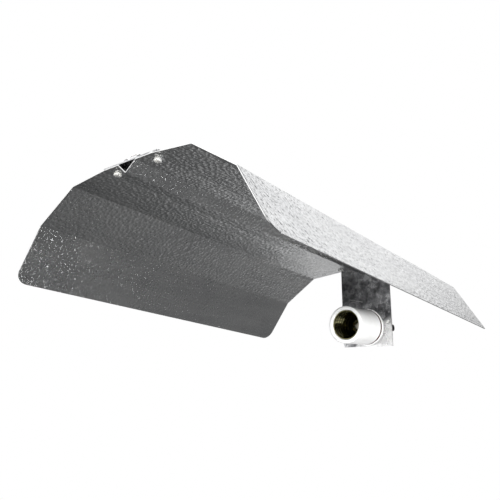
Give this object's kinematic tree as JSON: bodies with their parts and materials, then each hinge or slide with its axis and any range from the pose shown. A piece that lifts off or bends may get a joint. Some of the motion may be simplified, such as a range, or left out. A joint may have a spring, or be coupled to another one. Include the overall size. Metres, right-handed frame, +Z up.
{
  "type": "grow lamp reflector with lampholder",
  "caption": "Open gull-wing grow lamp: folded dimpled-aluminium reflector with a central V ridge, hanging bar and bails at its ends, and a bracket carrying a porcelain screw lampholder.",
  "frame": {"origin": "middle of the reflector in plan, at the level of the middle of its flat top panels; the lamp hangs about this point", "axes": "+X along the reflector towards the lampholder bracket, +Y across the wings, +Z up"},
  "size_m": [0.491, 0.3702, 0.1361],
  "materials": {
    "dimpled_aluminium": "hammered stucco-embossed sheet, satin",
    "zinc_steel": "zinc-coated sheet steel with mottled spangle",
    "bright_zinc": "bright zinc plate",
    "bright_wire": "bright zinc-plated wire",
    "white_porcelain": "glossy white glaze",
    "red_fibre": "vulcanised red-brown fibre",
    "brass_shell": "rolled brass, dull inside",
    "brass_parts": "turned and pressed brass",
    "nickelled_brass": "nickel-plated brass",
    "spring_steel": "bright spring steel",
    "black_rubber": "matt moulded rubber",
    "black_nylon": "moulded nylon"
  },
  "bodies": {
    "root": {"reflector_sheet": "dimpled_aluminium", "front_hanging_bar": "zinc_steel", "lamp_bracket": "zinc_steel", "front_bar_screws": "bright_zinc", "front_bar_washers": "bright_zinc", "front_bar_nuts": "bright_zinc", "rear_bracket_screws": "bright_zinc", "rear_bracket_washers": "bright_zinc", "rear_bracket_nuts": "bright_zinc", "lampholder_body": "white_porcelain", "contact_carrier": "white_porcelain", "lampholder_base": "white_porcelain", "base_gasket": "red_fibre", "screw_shell": "brass_shell", "shell_rivets": "brass_parts", "neutral_terminal": "brass_parts", "live_terminal": "brass_parts", "terminal_screws": "brass_parts", "contact_spring": "spring_steel", "body_screws": "bright_zinc", "body_nuts": "bright_zinc", "holder_screws": "bright_zinc", "holder_lock_washers": "bright_zinc", "holder_nuts": "bright_zinc", "wire_grommet": "black_rubber", "earth_stud": "brass_parts", "earth_washer": "brass_parts", "earth_nut": "brass_parts", "cord_clip": "black_nylon", "cord_clip_screw": "bright_zinc", "cord_clip_nut": "bright_zinc"},
    "front_bail": {"front_hanging_bail": "bright_wire"},
    "rear_bail": {"rear_hanging_bail": "bright_wire"},
    "contact": {"centre_contact": "nickelled_brass", "contact_ring": "spring_steel"}
  },
  "joints": [
    {"name": "front_bail_swing", "type": "hinge", "parent": "root", "child": "front_bail", "pos_m": [-0.228, 0, 0.0049], "axis": [0, 1, 0], "range_deg": [-100, 100]},
    {"name": "rear_bail_swing", "type": "hinge", "parent": "root", "child": "rear_bail", "pos_m": [0.228, 0, 0.0049], "axis": [0, 1, 0], "range_deg": [-100, 100]},
    {"name": "centre_contact_press", "type": "slide", "parent": "root", "child": "contact", "axis": [0.9962, 0, 0.0872], "range_m": [0, 0.0025], "stiffness_N_per_m": 2500, "springref_m": -0.001, "deforming": ["contact_spring"]}
  ]
}
